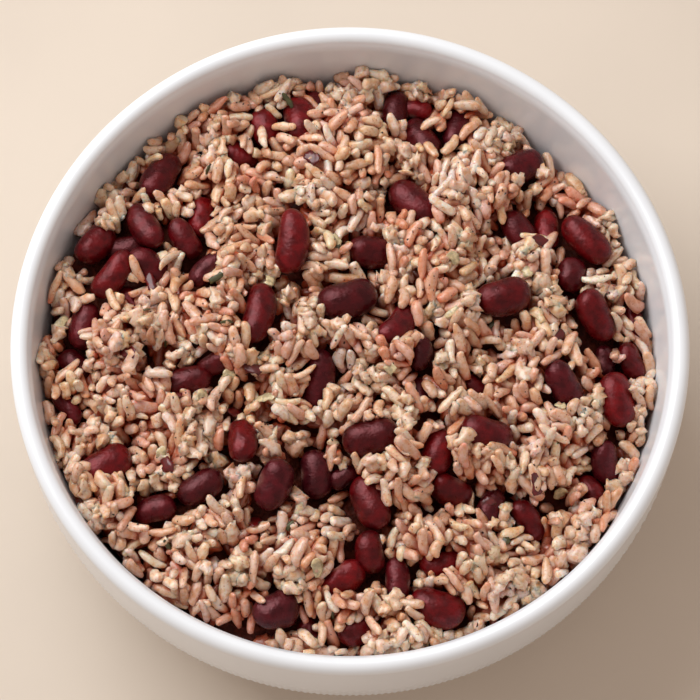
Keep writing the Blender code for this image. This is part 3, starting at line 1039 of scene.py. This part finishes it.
def make_core(settings):
    """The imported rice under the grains: a disc of rings that follows the heap's top at a depth,
    then runs down the inside of the bowl to the middle of its floor.
    """
    segments, rings, under = 200, 90, 24
    low = heap_top() - settings.core_depth
    rough = soft_noise(31, 3.0 * MM) * 0.5 * MM
    turn = np.arange(segments) * 2 * math.pi / segments
    gap = 1.0 * MM
    edge = np.full(segments, RIM_RADIUS - LIP - 4 * MM)
    for _ in range(8):
        height = sample(low, edge * np.cos(turn), edge * np.sin(turn))
        edge = inner_radius(RIM_HEIGHT - height) - gap
    share = (np.arange(1, rings + 1) / rings)[:, None]
    x, y = share * edge * np.cos(turn), share * edge * np.sin(turn)
    upper = np.stack([x, y, sample(low, x, y) + sample(rough, x, y)], axis=-1)
    edge_height = upper[-1, :, 2]
    start = inner_angle(RIM_HEIGHT - edge_height)
    step = (np.arange(1, under + 1) / under)[:, None]
    radius, down = inner_wall(start + (math.pi / 2 - start) * step)
    radius = radius - gap
    lower = np.stack([radius * np.cos(turn), radius * np.sin(turn), RIM_HEIGHT - down + gap], axis=-1)
    middle_top = np.array([[0, 0, float(sample(low, 0.0, 0.0))]])
    middle_bottom = np.array([[0, 0, float(lower[-1, 0, 2])]])
    grid = np.concatenate([upper, lower])
    triangles, quads = pod_faces(1, len(grid), segments)
    points = np.concatenate([middle_top, grid.reshape(-1, 3), middle_bottom])
    return mesh_object("packed_rice_core", points, triangles[:, ::-1], quads[:, ::-1])


# --- Operators ---


class RICEBOWL_OT_bowl(bpy.types.Operator):
    """Turns the glazed bowl, with its round lip, studded wall and foot"""

    bl_idname = "ricebowl.bowl"
    bl_label = "Glazed Bowl"

    def execute(self, context):
        settings = context.scene.bowl_settings
        finish_piece(make_bowl(settings), glazed_stoneware(settings), "bowl_glaze", BOWL_NODE)
        return {"FINISHED"}


class RICEBOWL_OT_beans(bpy.types.Operator):
    """Makes the kidney beans, on top of the heap and half under it"""

    bl_idname = "ricebowl.beans"
    bl_label = "Kidney Beans"

    def execute(self, context):
        settings = context.scene.bean_settings
        skin = bean_skin()
        beans, sunken, _, _ = laid_heap()
        for number, (name, place) in enumerate(zip(BEAN_NODES, beans), start=1):
            piece = make_bean(f"kidney_{name}", *place, settings, number)
            finish_piece(piece, skin, "bean_skin", name)
        for number, place in enumerate(sunken, start=1):
            piece = make_bean(f"kidney_sunken_{number:02d}", *place, settings, 100 + number)
            finish_piece(piece, skin, "bean_skin")
        return {"FINISHED"}


class RICEBOWL_OT_rice(bpy.types.Operator):
    """Lays the grains of rice over a smaller core"""

    bl_idname = "ricebowl.rice"
    bl_label = "Brown Rice"

    def execute(self, context):
        settings = context.scene.rice_settings
        finish_piece(make_core(settings), rice_core(settings), "cooked_rice", HEAP_NODE)
        boiled = cooked_rice()
        _, _, rows, _ = laid_heap()
        kinds = grain_kinds(rows)
        for number, kind in enumerate(KINDS):
            chosen = [row for row, k in zip(rows, kinds) if k == number]
            finish_piece(make_grains(kind, chosen, settings, 200 + number * 10), boiled, "cooked_rice")
        return {"FINISHED"}


class RICEBOWL_OT_scraps(bpy.types.Operator):
    """Scatters onion flakes, herb flecks, pepper specks and shards of bean skin on the heap"""

    bl_idname = "ricebowl.scraps"
    bl_label = "Onion, Herbs and Pepper"

    def execute(self, context):
        settings = context.scene.scrap_settings
        beans, sunken, _, heights = laid_heap()
        covered = bean_cover(beans + sunken, 1.1)
        kinds = (
            ("onion_flakes", ONION_SPOTS, settings.onions, (2.6, 1.6, 0.3), 0.3, 0.14,
             scrap_material("boiled_onion", settings.onion, 0.25, 0.7)),
            ("herb_flecks", HERB_SPOTS, settings.herbs, (2.0, 0.8, 0.16), 0.4, 0.2,
             scrap_material("boiled_herb", settings.herb, 0.4, 0.1)),
            ("pepper_specks", (), settings.peppers, (0.3, 0.2, 0.12), 0.45, 0.3,
             scrap_material("ground_pepper", settings.pepper, 0.6, 0.0)),
            ("bean_skin_shards", SKIN_SPOTS, settings.skins, (3.0, 1.7, 0.25), 0.3, 0.16,
             scrap_material("loose_bean_skin", context.scene.bean_settings.red, 0.35, 0.2)),
        )
        for seed, scrap in enumerate(kinds, start=300):
            name, chosen, count, half, spread, crumple, material = scrap
            frames = laid_scraps(heights, covered, chosen, count, np.array(half) * MM, spread, seed)
            piece = make_scraps(name, frames, crumple, seed + 50)
            finish_piece(piece, material, "bean_skin" if "bean" in name else "cooked_rice")
        return {"FINISHED"}


class RICEBOWL_OT_stage(bpy.types.Operator):
    """Sets the floor, the window light, the room's light and the camera"""

    bl_idname = "ricebowl.stage"
    bl_label = "Stage"

    def execute(self, context):
        settings = context.scene.stage_settings
        scene = context.scene
        make_floor(settings)
        make_lights(settings)
        make_camera(settings)
        scene.view_settings.view_transform = "Standard"
        return {"FINISHED"}


def make_floor(settings):
    """One square face at the height of the bowl's foot."""
    half = 2.5
    height = float(BOWL_LOW[2])
    turns = ((-1, -1), (1, -1), (1, 1), (-1, 1))
    square = np.array([(x * half, y * half, height) for x, y in turns])
    floor = mesh_object("floor", square, np.empty((0, 3), int), np.array([[0, 1, 2, 3]]), smooth=False)
    material, tree, shader, place = new_material("plain_pale_table")
    shade = tuple(0.95 * part for part in settings.floor)
    colour = blend_colours(tree, spots(tree, place, 120 * MM), rgba(shade), rgba(settings.floor))
    set_shader(tree, shader, base_color=colour, roughness=0.6)
    floor.data.materials.append(material)


def aim(piece, target):
    """Turns a light or a camera to look at the target."""
    piece.rotation_euler = (Vector(target) - piece.location).to_track_quat("-Z", "Y").to_euler()


def add_light(name, location, target, size, watts, colour):
    light = bpy.data.lights.new(name, "AREA")
    light.shape = "SQUARE"
    light.size = size
    light.energy = watts
    light.color = colour
    piece = bpy.data.objects.new(name, light)
    bpy.context.scene.collection.objects.link(piece)
    piece.location = location
    aim(piece, target)


def make_lights(settings):
    """One soft window at the far left, and an even warm light from the whole room."""
    middle = (0.0, 0.0, RIM_HEIGHT)
    add_light("window", (-0.74, 0.74, 1.16), middle, 1.3, settings.key_watts, (0.94, 0.98, 1.0))
    world = bpy.data.worlds.new("room")
    world.use_nodes = True
    background = world.node_tree.nodes["Background"]
    background.inputs["Color"].default_value = (1.0, 0.87, 0.78, 1.0)
    background.inputs["Strength"].default_value = settings.fill
    bpy.context.scene.world = world


def make_camera(settings):
    """A camera that looks down at the rim, with a lens that fits the rim to the picture's width."""
    camera = bpy.data.cameras.new("camera")
    rim_share = 0.972857  # share of the picture's width that the rim takes
    camera.sensor_width = 36.0
    camera.lens = 36.0 * rim_share * settings.distance / (2 * RIM_RADIUS)
    camera.clip_end = 20.0
    piece = bpy.data.objects.new("camera", camera)
    bpy.context.scene.collection.objects.link(piece)
    rim = np.array([0.0, 0.0, RIM_HEIGHT])
    away = np.array([0.0, -math.cos(settings.elevation), math.sin(settings.elevation)])
    target = rim - (0.0, settings.aim_nearer, 0.0)
    piece.location = target + away * settings.distance
    aim(piece, target)
    bpy.context.scene.camera = piece


class RICEBOWL_PT_panel(bpy.types.Panel):
    bl_label = "Rice and Beans"
    bl_idname = "RICEBOWL_PT_panel"
    bl_space_type = "VIEW_3D"
    bl_region_type = "UI"
    bl_category = "Rice and Beans"

    def draw(self, context):
        for operator in OPERATORS:
            self.layout.operator(operator.bl_idname)


OPERATORS = (
    RICEBOWL_OT_bowl, RICEBOWL_OT_beans, RICEBOWL_OT_rice, RICEBOWL_OT_scraps, RICEBOWL_OT_stage
)
SETTINGS = {
    "bowl_settings": BowlSettings,
    "rice_settings": RiceSettings,
    "bean_settings": BeanSettings,
    "scrap_settings": ScrapSettings,
    "stage_settings": StageSettings,
}


def register():
    for group in SETTINGS.values():
        bpy.utils.register_class(group)
    for name, group in SETTINGS.items():
        setattr(bpy.types.Scene, name, bpy.props.PointerProperty(type=group))
    for operator in OPERATORS:
        bpy.utils.register_class(operator)
    bpy.utils.register_class(RICEBOWL_PT_panel)


def unregister():
    bpy.utils.unregister_class(RICEBOWL_PT_panel)
    for operator in reversed(OPERATORS):
        bpy.utils.unregister_class(operator)
    for name, group in reversed(list(SETTINGS.items())):
        delattr(bpy.types.Scene, name)
        bpy.utils.unregister_class(group)


def corners(bounds):
    """The box's two corners as plain lists."""
    return [[float(part) for part in corner] for corner in bounds]


def main():
    register()
    bpy.ops.ricebowl.bowl()
    bpy.ops.ricebowl.beans()
    bpy.ops.ricebowl.rice()
    bpy.ops.ricebowl.scraps()
    bpy.ops.ricebowl.stage()
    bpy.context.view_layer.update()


if __name__ == "__main__":
    main()
